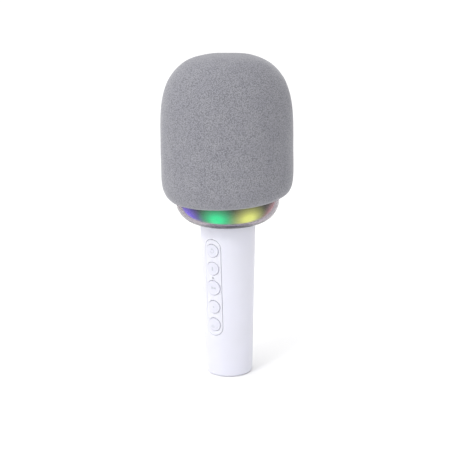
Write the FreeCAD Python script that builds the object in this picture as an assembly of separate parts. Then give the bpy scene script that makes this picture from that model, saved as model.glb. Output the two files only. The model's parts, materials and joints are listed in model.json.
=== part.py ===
"""Karaoke toy microphone with a built-in loudspeaker and a lit ring under its foam head.

Millimetres, +Z up.  The origin is the centre of the flat end that the handle stands on, and the
row of buttons faces -Y.  From the bottom: a tapered handle tube that holds a battery cell, a main
board with five tact switches and a port board; a hub that clamps a clear light bowl to the
handle's rim; a chamber with a loudspeaker that faces up; a wire grille with the microphone
capsule under its crown; and a thick foam windscreen that slips over the grille.
"""

import FreeCAD, Part
import math
import os
from FreeCAD import Vector

# ---- driving dimensions -------------------------------------------------------------------
total_height = 210.0

handle_height = 102.0
handle_base_radius = 15.3
handle_top_radius = 18.0
handle_wall = 2.0
handle_foot_rounding = 2.0

core_radius = 33.5            # the light bowl, the grille and everything that the foam slips over
bowl_sweep_radius = 15.0      # the round flank of the bowl
bowl_wall = 2.7
bowl_rim_z = 119.5

foam_radius = 42.4
foam_waist_z = 157.0          # the height where the foam is widest
foam_lip_drop = 40.6          # how far the foam's rounded foot reaches below the waist
foam_crown_power = 2.95       # superellipse powers of the foam's upper and lower outline
foam_foot_power = 7.3
foam_clearance = 0.3
foam_crown_wall = 8.6

keypad_width = 11.5
keypad_length = 65.0
keypad_centre_z = 61.0
keypad_thickness = 1.2
keypad_gap = 0.25
button_radius = 4.3
play_button_radius = 4.8
button_gap = 0.25
edge_rounding = 0.3           # on the strip, its recess, the holes and the button caps
button_proud = 0.35
button_flange = 0.7           # how far the inner flange reaches past the cap
BUTTONS = {                   # name: (height, radius)
    "power": (86.0, button_radius),
    "volume_up": (74.0, button_radius),
    "play": (61.0, play_button_radius),
    "volume_down": (48.0, button_radius),
    "echo": (36.0, button_radius),
}
status_light_z = 67.7
status_light_radius = 0.6

board_face_y = -8.4           # the main board's front face
board_thickness = 1.2
board_half_width = 10.5
board_low_z, board_high_z = 18.0, 92.0
switch_side = 6.0
switch_height = 3.5
plunger_radius = 1.75
plunger_proud = 0.8

battery_radius = 9.2
battery_length = 65.0
battery_low_z = 22.5
battery_y = 2.6

ledge_low_z, ledge_high_z = 3.0, 4.6     # the ring inside the handle that the end cap is drawn up to
cap_screw_x = 8.0
port_board_z = 10.5
usb_width, usb_height, usb_depth = 8.94, 3.26, 7.3
card_width, card_height, card_depth = 12.0, 1.4, 11.4
usb_mouth_y, card_mouth_y = 14.4, 11.9

chassis_top_z = 93.0
hub_screw_ring = 11.5
hub_bore = 13.3
flange_z = handle_height + bowl_wall     # the hub's flange presses the bowl's lip from here
led_board_z = 112.0
led_ring = 23.0
led_side, led_height = 5.0, 1.6
led_count = 8
led_first = 22.5              # degrees from the buttons towards +X

chamber_floor_z = 117.0
chamber_radius = 26.8
chamber_wall = 2.5
speaker_seat_z = 143.0
speaker_screw_ring = 25.4

grille_wall = 1.3
grille_foot_z = 121.6
grille_collar_top = 128.0
grille_band_low, grille_band_high = 156.0, 160.0

capsule_radius = 7.0
capsule_low_z, capsule_high_z = 176.0, 184.5

socket_z = 85.0
terminal_y = 17.5
mic_lead_y = 27.4
wire_radius = 0.45
wire_pitch = 1.05
lead_side = 5.375             # the leads run down past the switches at this distance from the middle
lead_y = -9.7
lead_z = 115.0                # and cross to the hub in the gap between ring board and chamber
AXIS = Vector(0, 0, 1)
BACK = Vector(0, 1, 0)


# ---- small tools --------------------------------------------------------------------------
def handle_radius(z):
    """Outside radius of the tapered handle at height z."""
    return handle_base_radius + (handle_top_radius - handle_base_radius) * z / handle_height


def frustum(offset, low=0.0, high=handle_height):
    """Solid with the handle's taper, offset outwards, from low to high."""
    base, top = handle_radius(low) + offset, handle_radius(high) + offset
    return Part.makeCone(base, top, high - low, Vector(0, 0, low), AXIS)


def disc(radius, low, high, x=0.0, y=0.0):
    return Part.makeCylinder(radius, high - low, Vector(x, y, low), AXIS)


def ring(inner, outer, low, high):
    return disc(outer, low, high).cut(disc(inner, low - 1, high + 1))


def block(x0, x1, y0, y1, z0, z1):
    return Part.makeBox(x1 - x0, y1 - y0, z1 - z0, Vector(x0, y0, z0))


def rod_y(radius, y0, y1, x, z):
    """Round bar along +Y from y0 to y1."""
    return Part.makeCylinder(radius, y1 - y0, Vector(x, y0, z), BACK)


def obround_y(width, length, y0, y1, z):
    """Upright bar with round ends, width across X and length along Z, from y0 to y1."""
    radius, straight = width / 2, (length - width) / 2
    body = block(-radius, radius, y0, y1, z - straight, z + straight)
    ends = [rod_y(radius, y0, y1, 0, z - straight), rod_y(radius, y0, y1, 0, z + straight)]
    return body.fuse(ends).removeSplitter()


def on_ring(radius, degrees):
    """(x, y) at an angle counted from the buttons' side, towards +X."""
    a = math.radians(degrees)
    return radius * math.sin(a), -radius * math.cos(a)


def spun(shape, degrees):
    turned = shape.copy()
    turned.rotate(Vector(0, 0, 0), AXIS, degrees)
    return turned


def revolve(*edges):
    """Solid of revolution from a closed outline of edges in the XZ plane."""
    face = Part.Face(Part.Wire(Part.__sortEdges__(list(edges))))
    return face.revolve(Vector(0, 0, 0), AXIS, 360)


def p(r, z):
    return Vector(r, 0, z)


def line(*points):
    """Straight edges through (r, z) points."""
    return [Part.LineSegment(p(*a), p(*b)).toShape() for a, b in zip(points, points[1:])]


def arc(start, middle, end):
    return Part.Arc(p(*start), p(*middle), p(*end)).toShape()


def flank(radius, degrees, centre=(core_radius - bowl_sweep_radius, handle_height + bowl_sweep_radius)):
    """(r, z) on a circle round the bowl's sweep centre, counted from straight down towards outside."""
    a = math.radians(degrees)
    return centre[0] + radius * math.sin(a), centre[1] - radius * math.cos(a)


def superellipse(half_width, half_height, power, waist_z, start, end, steps=12):
    """Smooth edge along r = a cos^(2/n), z = waist + b sin^(2/n), between two parameter angles."""
    points = []
    for i in range(steps + 1):
        t = math.radians(start + (end - start) * i / steps)
        across, along = max(math.cos(t), 0.0) ** (2 / power), max(math.sin(t), 0.0) ** (2 / power)
        points.append(p(half_width * across, waist_z + half_height * along))
    curve = Part.BSplineCurve()
    if end == 90:
        upright, level = Vector(0, 0, half_height), Vector(-half_width, 0, 0)
        curve.interpolate(Points=points, InitialTangent=upright, FinalTangent=level)
    else:
        curve.interpolate(points)
    return curve.toShape(), (points[0].x, points[0].z), (points[-1].x, points[-1].z)


def dome(half_width, crown_z, foot_z, waist_z=foam_waist_z, power=foam_crown_power):
    """Solid cap: upright from foot_z to the waist, then a superellipse crown closed on the axis."""
    crown, low, high = superellipse(half_width, crown_z - waist_z, power, waist_z, 0, 90)
    return revolve(crown, *line(high, (0, foot_z), (half_width, foot_z), low))


def wire(points, bend, radius=wire_radius):
    """Round lead along straight runs joined by tangent arcs."""
    edges, here = [], points[0]
    for before, corner, after in zip(points, points[1:], points[2:]):
        back, on = (before - corner).normalize(), (after - corner).normalize()
        half = back.getAngle(on) / 2
        reach = bend / math.tan(half)
        start, end = corner + back * reach, corner + on * reach
        bisector = (back + on).normalize()
        middle = corner + bisector * (bend / math.sin(half) - bend)
        edges += [Part.LineSegment(here, start).toShape(), Part.Arc(start, middle, end).toShape()]
        here = end
    edges.append(Part.LineSegment(here, points[-1]).toShape())
    path = Part.Wire(edges)
    heading = points[1] - points[0]
    section = Part.Wire([Part.Circle(points[0], heading, radius).toShape()])
    return path.makePipeShell([section], True, True)


def lead_pair(route, bend):
    """Two leads side by side across X along one route."""
    offsets = (-wire_pitch / 2, wire_pitch / 2)
    return Part.makeCompound([wire([q + Vector(dx, 0, 0) for q in route], bend) for dx in offsets])


def screw(x, y, seat_z, length, radius=1.0, head_radius=1.9, head=1.3, down=True):
    """Pan-head screw with a cross recess: head above seat_z and shank below, or the other way up."""
    shank = disc(radius, seat_z - length, seat_z, x, y)
    top = disc(head_radius, seat_z, seat_z + head, x, y)
    top = top.makeFillet(head * 0.4, [e for e in top.Edges if abs(e.CenterOfMass.z - seat_z - head) < 1e-6])
    slot = head_radius * 0.6
    cross = block(x - slot, x + slot, y - 0.2, y + 0.2, seat_z + head * 0.5, seat_z + head + 1)
    cross = cross.fuse(block(x - 0.2, x + 0.2, y - slot, y + slot, seat_z + head * 0.5, seat_z + head + 1))
    made = shank.fuse(top).cut(cross)
    if not down:
        made.rotate(Vector(x, y, seat_z), Vector(1, 0, 0), 180)
    return made


def on_skin(edge):
    """True for an edge that lies on the handle's outside, between the strip's two ends."""
    reach = keypad_length / 2 + 1
    first, last = edge.FirstParameter, edge.LastParameter
    points = [edge.valueAt(first + (last - first) * i / 4) for i in range(5)]
    return all(abs(math.hypot(q.x, q.y) - handle_radius(q.z)) < 0.01 and q.y < -8 and abs(q.x) < keypad_width
               and abs(q.z - keypad_centre_z) < reach for q in points)


def round_edges(shape, radius, chosen):
    """Fillets the edges that chosen(edge) picks."""
    return shape.makeFillet(radius, [e for e in shape.Edges if chosen(e)])


# ---- handle -------------------------------------------------------------------------------
def handle_tube():
    outside = round_edges(frustum(0), handle_foot_rounding, lambda e: e.BoundBox.ZMax < 0.1)
    tube = outside.cut(frustum(-handle_wall))
    tube = tube.fuse(ring(11.0, handle_radius(ledge_low_z) - 1.0, ledge_low_z, ledge_high_z))
    shell_band = frustum(1).cut(frustum(-keypad_thickness - 0.05))
    recess = obround_y(keypad_width + 2 * keypad_gap, keypad_length + 2 * keypad_gap, -30, -8, keypad_centre_z)
    window = obround_y(keypad_width - 0.6, keypad_length - 0.6, -30, -8, keypad_centre_z)
    tube = tube.cut(recess.common(shell_band)).cut(window)
    tube = round_edges(tube, edge_rounding, on_skin)
    usb_z = port_board_z + board_thickness + usb_height / 2
    mouth = block(-2.8, 2.8, 8, 30, usb_z - 1.9, usb_z + 1.9)
    mouth = mouth.fuse([rod_y(1.9, 8, 30, -2.8, usb_z), rod_y(1.9, 8, 30, 2.8, usb_z)])
    card_z = port_board_z - card_height / 2
    slit = block(-card_width / 2 + 0.2, card_width / 2 - 0.2, 8, 30, card_z - 0.75, card_z + 0.75)
    return tube.cut(mouth).cut(slit).removeSplitter()


def keypad_strip():
    """Inlaid strip, flush with the handle, that the buttons come through."""
    shell = frustum(0).cut(frustum(-keypad_thickness))
    strip = shell.common(obround_y(keypad_width, keypad_length, -30, -8, keypad_centre_z))
    for z, radius in BUTTONS.values():
        strip = strip.cut(rod_y(radius + button_gap, -30, -8, 0, z))
    strip = round_edges(strip, edge_rounding, on_skin)
    return strip.cut(rod_y(status_light_radius, -30, -8, 0, status_light_z))


def button_cap(z, radius):
    """Cap that follows the handle's taper, with a flange behind the strip and a stem to its switch."""
    flange_front = -(handle_radius(z) - 2.45)
    flange_back = flange_front + 0.7
    face = rod_y(radius, -30, flange_front, 0, z).common(frustum(button_proud))
    face = round_edges(face, edge_rounding + 0.1,
                       lambda e: e.CenterOfMass.y < -(handle_radius(z) - 1.0) and e.Length > 6 * radius)
    flange = rod_y(radius + button_flange - button_gap, flange_front, flange_back, 0, z)
    stem = rod_y(1.6, flange_back, board_face_y - switch_height - plunger_proud, 0, z)
    return face.fuse([flange, stem])


def switch_plunger(z):
    front = board_face_y - switch_height - plunger_proud
    return rod_y(plunger_radius, front, front + plunger_proud + 0.9, 0, z)


def switch_bodies():
    """Five tact switches, each with a socket for its plunger and its travel."""
    bodies = []
    half = switch_side / 2
    front = board_face_y - switch_height
    for z, _ in BUTTONS.values():
        body = block(-half, half, front, board_face_y, z - half, z + half)
        socket = rod_y(plunger_radius + 0.08, front - 1, front + 1.6, 0, z)
        bodies.append(body.cut(socket))
    return Part.makeCompound(bodies)


def status_light_pipe():
    back = board_face_y - 1.0
    tip = rod_y(status_light_radius - 0.05, -30, back, 0, status_light_z).common(frustum(0))
    return tip.fuse(rod_y(1.2, back - 2.0, back, 0, status_light_z))


def end_cap():
    cap = disc(13.1, 0, ledge_low_z)
    cap = cap.makeChamfer(0.3, [e for e in cap.Edges if e.BoundBox.ZMax < 0.1])
    for x in (-cap_screw_x, cap_screw_x):
        cap = cap.cut(disc(2.2, -1, 1.6, x)).cut(disc(1.1, -1, 5, x))
    return cap


def chassis_screws():
    """Two screws up through the end cap and three down through the hub, all into the chassis."""
    made = [screw(x, 0, 1.6, 6.4, down=False) for x in (-cap_screw_x, cap_screw_x)]
    made += [screw(*on_ring(hub_screw_ring, degrees), 95.5, 5.0) for degrees in (60, 180, 300)]
    return Part.makeCompound(made)


# ---- chassis and boards -------------------------------------------------------------------
def chassis():
    """Frame that slides into the handle: two side rails between a foot plate and a head plate."""
    foot = disc(12.9, ledge_high_z, 7.0)
    for x in (-cap_screw_x, cap_screw_x):
        foot = foot.fuse(disc(2.3, 7.0, 8.9, x))
    posts = [disc(1.5, 7.0, port_board_z, x, -6.0) for x in (-7.8, 7.8)]
    rails = []
    for x0, x1 in ((-13, -9.5), (9.5, 13)):
        upright = block(x0, x1, board_face_y + board_thickness, 9, ledge_high_z, 91)
        upright = upright.common(disc(12.9, 0, 100))
        notches = [block(x0 - 1, x1 + 1, y0, y1, 8.0, 17.0) for y0, y1 in ((-20, 3), (6, 20))]
        rails.append(upright.cut(notches))
    bar_front = board_face_y + board_thickness
    bars = [block(-10, 10, bar_front, -3.5, z0, z1) for z0, z1 in ((18.0, 21.8), (88.2, 91.0))]
    cradle = block(-10, 10, -6.0, 9.0, 18.0, 21.8).common(disc(12.9, 0, 100))
    cradle = cradle.cut(block(-4, 4, -2, 20, 17, 23))
    head = disc(14.9, 90.5, chassis_top_z).cut(block(-30, 30, -30, board_face_y + board_thickness, 90, 95))
    frame = foot.fuse([*posts, *rails, *bars, cradle, head])
    for x in (-cap_screw_x, cap_screw_x):
        frame = frame.cut(disc(1.05, 0, 10, x))
    for degrees in (60, 180, 300):
        frame = frame.cut(disc(1.05, 85, 95, *on_ring(hub_screw_ring, degrees)))
    frame = frame.cut(disc(4.5, 87.9, 95))
    for x, z in board_screw_places():
        frame = frame.cut(rod_y(0.75, -8, -3, x, z))
    return frame


def board_screw_places():
    return [(x, z) for x in (-8.8, 8.8) for z in (19.8, 89.6)]


def main_board():
    board = block(-board_half_width, board_half_width, board_face_y, board_face_y + board_thickness,
                  board_low_z, board_high_z)
    board = round_edges(board, 1.5, lambda e: e.BoundBox.YLength > 1 and e.BoundBox.XLength < 0.1
                        and e.BoundBox.ZLength < 0.1)
    for x, z in board_screw_places():
        board = board.cut(rod_y(0.75, -12, -3, x, z))
    return board


def board_screws():
    made = []
    for x, z in board_screw_places():
        shank = rod_y(0.7, board_face_y, board_face_y + 4.4, x, z)
        head = rod_y(1.3, board_face_y - 0.9, board_face_y, x, z)
        slot = block(x - 0.9, x + 0.9, -12, board_face_y - 0.5, z - 0.15, z + 0.15)
        made.append(shank.fuse(head).cut(slot))
    return Part.makeCompound(made)


def on_board(x, z, width, height, depth):
    """Component body on the board's front face."""
    across, up = width / 2, height / 2
    return block(x - across, x + across, board_face_y - depth, board_face_y, z - up, z + up)


def board_chips():
    """Radio and amplifier chips in black packages, beside the switches."""
    return Part.makeCompound([on_board(-6.6, 67.6, 5, 5, 0.9), on_board(6.6, 54.5, 4, 5, 1.4),
                              on_board(-6.6, 42.0, 4, 5, 1.4), on_board(6.4, 80.5, 4.5, 3.2, 1.0)])


def board_capacitors():
    """Can capacitors and small blocks around the amplifier."""
    places = ((6.6, 67.5), (-6.6, 55.0), (6.6, 30.5))
    cans = [rod_y(1.9, board_face_y - 2.6, board_face_y, x, z) for x, z in places]
    blocks = [on_board(x, z, 1.6, 0.8, 0.8) for x in (-6.6, 6.6) for z in (26.5, 36.0, 47.5, 61.0)]
    return Part.makeCompound(cans + blocks)


def board_sockets():
    """White lead sockets at the board's upper corners, open at the top."""
    made = []
    for x, width in ((-lead_side, 4.7), (lead_side, 3.6)):
        reach = width / 2 - 0.25
        back, front = board_face_y - 0.5, board_face_y - 2.1
        mouth = block(x - reach, x + reach, front, back, socket_z - 0.6, socket_z + 5)
        made.append(on_board(x, socket_z, width, 3.2, 2.6).cut(mouth))
    return Part.makeCompound(made)


def status_led():
    return on_board(0, status_light_z, 2.0, 1.2, 0.9)


def battery_cell():
    """Cylindrical cell with a crimped shoulder and a raised pole."""
    top = battery_low_z + battery_length
    cell = disc(battery_radius, battery_low_z, top - 1.0, 0, battery_y)
    cell = cell.cut(Part.makeTorus(battery_radius + 0.3, 0.8, Vector(0, battery_y, top - 4.5), AXIS))
    cell = round_edges(cell, 0.8, lambda e: abs(e.BoundBox.ZMin - top + 1.0) < 0.01
                       or abs(e.BoundBox.ZMax - battery_low_z) < 0.01)
    return cell.fuse(disc(3.2, top - 1.0, top, 0, battery_y))


def battery_tabs():
    """Nickel strips from both poles to the main board."""
    top = battery_low_z + battery_length
    rear = board_face_y + board_thickness
    upper = block(-2, 2, rear, battery_y + 3, top, top + 0.2)
    lower = block(-2, 2, rear, battery_y + 3, battery_low_z - 0.2, battery_low_z)
    return Part.makeCompound([upper, lower])


def port_board():
    top = port_board_z + board_thickness
    return block(-9, 9, -9.6, 11.2, port_board_z, top).common(disc(12.3, 0, 30))


def usb_socket():
    """Charging socket: rounded metal shell with its tongue, facing the back."""
    low = port_board_z + board_thickness
    middle = low + usb_height / 2
    def shell(inset, y0, y1):
        radius, reach = usb_height / 2 - inset, usb_width / 2 - usb_height / 2
        body = block(-reach, reach, y0, y1, middle - radius, middle + radius)
        return body.fuse([rod_y(radius, y0, y1, -reach, middle), rod_y(radius, y0, y1, reach, middle)])
    back = usb_mouth_y - usb_depth
    metal = shell(0, back, usb_mouth_y).cut(shell(0.3, back + 0.8, usb_mouth_y + 1))
    tongue = block(-3.3, 3.3, back + 0.8, usb_mouth_y - 1.0, middle - 0.35, middle + 0.35)
    return metal.fuse(tongue).removeSplitter()


def card_slot():
    """Flat metal memory-card slot under the port board."""
    low, half = port_board_z - card_height, card_width / 2
    back = card_mouth_y - card_depth
    body = block(-half, half, back, card_mouth_y, low, port_board_z)
    return body.cut(block(0.4 - half, half - 0.4, back + 1, card_mouth_y + 1, low + 0.25, port_board_z - 0.25))


def link_pins():
    """Header pins that join the port board to the main board's lower edge."""
    pins = [block(x - 0.3, x + 0.3, board_face_y - 0.6, board_face_y, port_board_z + board_thickness, 20.8)
            for x in (-3.75, -1.25, 1.25, 3.75)]
    return Part.makeCompound(pins)


# ---- neck and light ring ------------------------------------------------------------------
def head_hub():
    """Seat of the head: a cup in the handle's mouth, a flange on the bowl's lip and a board pilot."""
    seat = revolve(*line((hub_bore, chassis_top_z), (15.5, chassis_top_z), (15.5, flange_z), (18.5, flange_z),
                         (22.5, flange_z + 1.0), (22.5, flange_z + 2.2), (18.0, flange_z + 2.2),
                         (18.0, led_board_z), (15.7, led_board_z), (15.7, chamber_floor_z),
                         (hub_bore, chamber_floor_z), (hub_bore, chassis_top_z)))
    floor = disc(hub_bore + 0.5, chassis_top_z, 95.5).cut(disc(5.0, 90, 100))
    hub = seat.fuse(floor)
    for degrees in (0, 120, 240):
        x, y = on_ring(hub_screw_ring, degrees)
        hub = hub.fuse(disc(2.2, 95.0, chamber_floor_z, x, y)).cut(disc(0.85, 105, 120, x, y))
    for degrees in (60, 180, 300):
        x, y = on_ring(hub_screw_ring, degrees)
        hub = hub.cut(disc(1.1, 90, 97, x, y)).cut(disc(2.3, 95.5, 110, x, y))
    for x in (-lead_side, lead_side):
        hub = hub.cut(block(x - 2.2, x + 2.2, 5, 17, led_board_z + board_thickness, 120))
        hub = hub.cut(block(x - 2.2, x + 2.2, -11.4, -8.6, 90, 95.5))
    return hub.removeSplitter()


def light_bowl():
    """Clear bowl: a thick quarter-round flank between the handle's rim and an upright top edge."""
    inside = bowl_sweep_radius - bowl_wall
    low_out, mid_out, high_out = (flank(bowl_sweep_radius, d) for d in (0, 45, 90))
    low_in, mid_in, high_in = (flank(inside, d) for d in (0, 45, 90))
    lip = handle_top_radius - 1.8
    return revolve(arc(low_out, mid_out, high_out), arc(high_in, mid_in, low_in),
                   *line(high_out, (core_radius, bowl_rim_z), (high_in[0], bowl_rim_z), high_in),
                   *line(low_in, (lip, low_in[1]), (lip, handle_height), low_out))


def light_diffuser():
    """Translucent band that follows the inside of the bowl."""
    outside, thickness, foot_degrees = bowl_sweep_radius - bowl_wall - 0.1, 1.0, 23.5
    out = [flank(outside, d) for d in (foot_degrees, 57, 90)]
    inn = [flank(outside - thickness, d) for d in (foot_degrees, 57, 90)]
    top = bowl_rim_z - 0.2
    return revolve(arc(*out), arc(*inn[::-1]), *line(inn[0], out[0]),
                   *line(out[2], (out[2][0], top), (inn[2][0], top), inn[2]))


def led_board():
    board = ring(16.0, 27.0, led_board_z, led_board_z + board_thickness)
    return board.cut(block(-2.2, 2.2, 15, 19.5, led_board_z - 1, led_board_z + 3))


def led_chips():
    """Eight colour LEDs under the ring board, each a white square with a round well."""
    chips = []
    for i in range(led_count):
        x, y = on_ring(led_ring, 0)
        half = led_side / 2
        chip = block(x - half, x + half, y - half, y + half, led_board_z - led_height, led_board_z)
        chip = chip.cut(disc(1.9, led_board_z - led_height - 1, led_board_z - led_height + 0.4, x, y))
        chips.append(spun(chip, led_first + i * 360 / led_count))
    return Part.makeCompound(chips)


# ---- loudspeaker --------------------------------------------------------------------------
def speaker_chamber():
    """Closed cup behind the loudspeaker, with a rim that covers the bowl and seats the grille."""
    cup = disc(chamber_radius, chamber_floor_z, speaker_seat_z)
    cup = cup.cut(disc(chamber_radius - chamber_wall, chamber_floor_z + 2.0, speaker_seat_z + 1))
    rim = ring(chamber_radius - 1.0, core_radius - 0.2, bowl_rim_z + 0.1, grille_foot_z)
    cup = cup.fuse(rim)
    for degrees in (45, 135, 225, 315):
        cup = cup.cut(disc(0.85, 136, 150, *on_ring(speaker_screw_ring, degrees)))
    for degrees in (0, 120, 240):
        cup = cup.cut(disc(0.95, 110, 125, *on_ring(hub_screw_ring, degrees)))
    for x, y, wide in ((lead_side, mic_lead_y, 1.3), (-lead_side - wire_pitch, terminal_y, 1.2)):
        cup = cup.cut(block(x - wide, x + wide, y - 0.65, y + 0.65, 110, 125))
    return cup.removeSplitter()


def chamber_screws():
    places = [on_ring(hub_screw_ring, degrees) for degrees in (0, 120, 240)]
    seat = chamber_floor_z + 2.0
    made = [screw(x, y, seat, 9.0, radius=0.8, head_radius=1.5, head=0.9) for x, y in places]
    return Part.makeCompound(made)


def speaker_frame():
    """Pressed steel basket with four windows and a ledge for the spider."""
    basket = revolve(*line((23.2, 143.0), (26.6, 143.0), (26.6, 144.0), (22.4, 144.0), (16.0, 134.5),
                           (12.6, 134.5), (12.6, 129.8), (13.6, 129.8), (13.6, 133.6), (16.6, 133.6),
                           (23.2, 143.0)))
    foot = ring(6.2, 13.6, 129.8, 130.7)
    basket = basket.fuse(foot)
    for degrees in (45, 135, 225, 315):
        basket = basket.cut(disc(0.85, 140, 150, *on_ring(speaker_screw_ring, degrees)))
    for degrees in (0, 90, 180, 270):
        window = block(-6.0, 6.0, -24, -16.6, 135.6, 141.6)
        basket = basket.cut(spun(window, degrees))
    return basket.removeSplitter()


def speaker_terminals():
    """Tag board on the basket's foot, with two solder tags."""
    x = -lead_side - wire_pitch
    low = 130.0
    board = block(x - 3, x + 6, 9.0, terminal_y + 1.4, low, low + 0.8).cut(disc(13.7, 129, 132))
    for dx in (-wire_pitch / 2, wire_pitch / 2):
        board = board.fuse(disc(0.4, low + 0.8, low + 1.5, x + dx, terminal_y))
    return board


def speaker_yoke():
    plate = round_edges(disc(13.0, 120.0, 123.0), 1.0, lambda e: e.BoundBox.ZMax < 120.1)
    return plate.fuse(disc(5.0, 122.0, 129.8))


def speaker_magnet():
    return ring(8.0, 15.0, 123.0, 126.8)


def speaker_top_plate():
    return ring(6.0, 13.5, 126.8, 129.8)


def coil_former():
    return ring(5.3, 5.45, 125.4, 137.0)


def voice_coil():
    return ring(5.45, 5.7, 125.6, 131.0)


def speaker_cone():
    """Curved paper cone from the coil former to the surround."""
    thickness = 0.5
    low, mid, high = (5.45, 135.6), (11.4, 139.6), (19.0, 142.4)
    raised = [(r, z + thickness) for r, z in (low, mid, high)]
    return revolve(arc(low, mid, high), *line(high, raised[2]), arc(*raised[::-1]), *line(raised[0], low))


def dust_cap():
    """Thin spherical cap over the coil, centred on the axis."""
    rim, base, crown, thickness = 7.0, 137.4, 140.8, 0.4
    radius = ((crown - base) ** 2 + rim ** 2) / (2 * (crown - base))
    centre = p(0, crown - radius)
    shell = Part.makeSphere(radius, centre).cut(Part.makeSphere(radius - thickness, centre))
    return shell.common(disc(20, base, crown + 1))


def speaker_surround():
    """Half-roll edge that carries the cone from the basket's rim."""
    thickness = 0.4
    out = arc((19.2, 142.9 + thickness), (21.0, 145.4), (22.7, 144.0 + thickness))
    inn = arc((22.4, 144.0), (21.0, 145.0), (19.5, 142.9))
    lip_top, foot_top = 144.0 + thickness, 142.9 + thickness
    return revolve(out, *line((22.7, lip_top), (23.7, lip_top), (23.7, 144.0), (22.4, 144.0)),
                   inn, *line((19.5, 142.9), (18.0, 142.9), (18.0, foot_top), (19.2, foot_top)))


def speaker_spider():
    """Corrugated disc that centres the coil, as rings of raised and lowered cloth."""
    thickness, wave, pitch = 0.35, 0.5, 1.5
    radii = [5.45 + i * pitch / 2 for i in range(13)]
    low = [(r, 134.5 + (wave if i % 2 else 0.0)) for i, r in enumerate(radii)]
    high = [(r, z + thickness) for r, z in low]
    rim = (15.6, 134.5), (15.6, 134.5 + thickness)
    return revolve(*line(*low, rim[0], rim[1], *high[::-1], low[0]))


def speaker_screws():
    places = [on_ring(speaker_screw_ring, degrees) for degrees in (45, 135, 225, 315)]
    made = [screw(x, y, 145.2, 8.0, radius=0.8, head_radius=1.4, head=1.0) for x, y in places]
    return Part.makeCompound(made)


# ---- grille, microphone and foam ----------------------------------------------------------
def grille_shell(low, high):
    """Band of the grille's wall between two heights."""
    crown_z = total_height - foam_crown_wall - foam_clearance
    outer = dome(core_radius, crown_z, grille_foot_z)
    inner = dome(core_radius - grille_wall, crown_z - grille_wall, grille_foot_z)
    return outer.cut(inner).common(disc(50, low, high))


def grille_collar():
    collar = ring(core_radius - 2.2, core_radius, grille_foot_z, grille_collar_top)
    return round_edges(collar, 0.6, lambda e: e.BoundBox.ZMin > grille_collar_top - 0.1
                       and e.BoundBox.XLength > 2 * core_radius - 0.1)


def grille_band():
    return ring(core_radius - 1.9, core_radius, grille_band_low, grille_band_high)


def grille_side():
    """Lower mesh wall.  Upright slots stand for the mesh's open share."""
    wall = grille_shell(grille_collar_top, grille_band_low)
    slot = block(-1.5, 1.5, -40, -25, grille_collar_top + 2, grille_band_low - 2)
    return wall.cut(Part.makeCompound([spun(slot, i * 15) for i in range(24)]))


def grille_crown():
    """Upper mesh dome, with radial slots for its open share."""
    wall = grille_shell(grille_band_high, total_height)
    slots = [spun(block(-1.5, 1.5, -30.5, -9, 162, 205), i * 15) for i in range(0, 24, 2)]
    slots += [spun(block(-1.5, 1.5, -30.5, -17, 162, 205), i * 15) for i in range(1, 24, 2)]
    return wall.cut(Part.makeCompound(slots))


def mic_bridge():
    """Three legs from the loudspeaker's rim to a cup that holds the microphone capsule."""
    low, high = 144.0, 145.2
    foot = ring(23.95, 26.6, low, high)
    cup = ring(8.2, 10.2, 174.0, 184.0).fuse(ring(5.0, 10.2, 173.0, 174.6))
    legs = []
    for degrees in (0, 120, 240):
        bx, by = on_ring(25.2, degrees)
        tx, ty = on_ring(9.2, degrees)
        base, tip = Vector(bx, by, low + 0.6), Vector(tx, ty, 175.5)
        legs.append(Part.makeCylinder(1.4, (tip - base).Length, base, tip - base))
    bridge = foot.fuse([cup, *legs]).cut(disc(8.2, 174.6, 190)).cut(disc(40, 130, low))
    bridge = bridge.cut(disc(5.0, 170, 180))
    for degrees in (45, 135, 225, 315):
        bridge = bridge.cut(disc(0.85, 140, 150, *on_ring(speaker_screw_ring, degrees)))
    return bridge.removeSplitter()


def mic_boot():
    """Rubber sleeve between the capsule and its cup."""
    return ring(capsule_radius + 0.05, 8.15, 174.65, 185.0).fuse(ring(5.6, 8.15, 174.65, 175.9))


def mic_capsule():
    can = disc(capsule_radius, capsule_low_z, capsule_high_z)
    can = round_edges(can, 0.5, lambda e: e.BoundBox.ZMin > capsule_high_z - 0.1)
    return can.cut(disc(4.6, capsule_high_z - 0.6, capsule_high_z + 1))


def mic_felt():
    return disc(4.5, capsule_high_z - 0.6, capsule_high_z + 0.3)


def foam_windscreen():
    """Moulded foam cap, widest at its waist, with a rounded foot that closes on the light bowl."""
    mouth = core_radius + foam_clearance
    mouth_angle = math.degrees(math.acos((mouth / foam_radius) ** (foam_foot_power / 2)))
    rise = total_height - foam_waist_z
    crown, _, top = superellipse(foam_radius, rise, foam_crown_power, foam_waist_z, 0, 90)
    foot, _, lip = superellipse(foam_radius, -foam_lip_drop, foam_foot_power, foam_waist_z, 0, mouth_angle)
    inner_rise = rise - foam_crown_wall
    liner, inner_waist, inner_top = superellipse(mouth, inner_rise, foam_crown_power, foam_waist_z, 0, 90)
    return revolve(crown, foot, liner, *line(top, inner_top), *line(inner_waist, lip))


# ---- leads --------------------------------------------------------------------------------
def down_to_board(x):
    """The last corners of every lead: across to the hub, then down to its socket."""
    return [Vector(x, lead_y, lead_z), Vector(x, lead_y, socket_z - 0.4)]


def mic_leads():
    """From the capsule, out between two legs, down behind the chamber and in under its floor."""
    x = lead_side
    return lead_pair([Vector(0, 0, capsule_low_z), Vector(0, 0, 166), Vector(x, mic_lead_y, 152),
                      Vector(x, mic_lead_y, lead_z), *down_to_board(x)], 1.2)


def speaker_leads():
    """From the loudspeaker's terminals through the chamber floor."""
    x = -lead_side - wire_pitch
    return lead_pair([Vector(x, terminal_y, 130.0), Vector(x, terminal_y, lead_z), *down_to_board(x)], 1.2)


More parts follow.
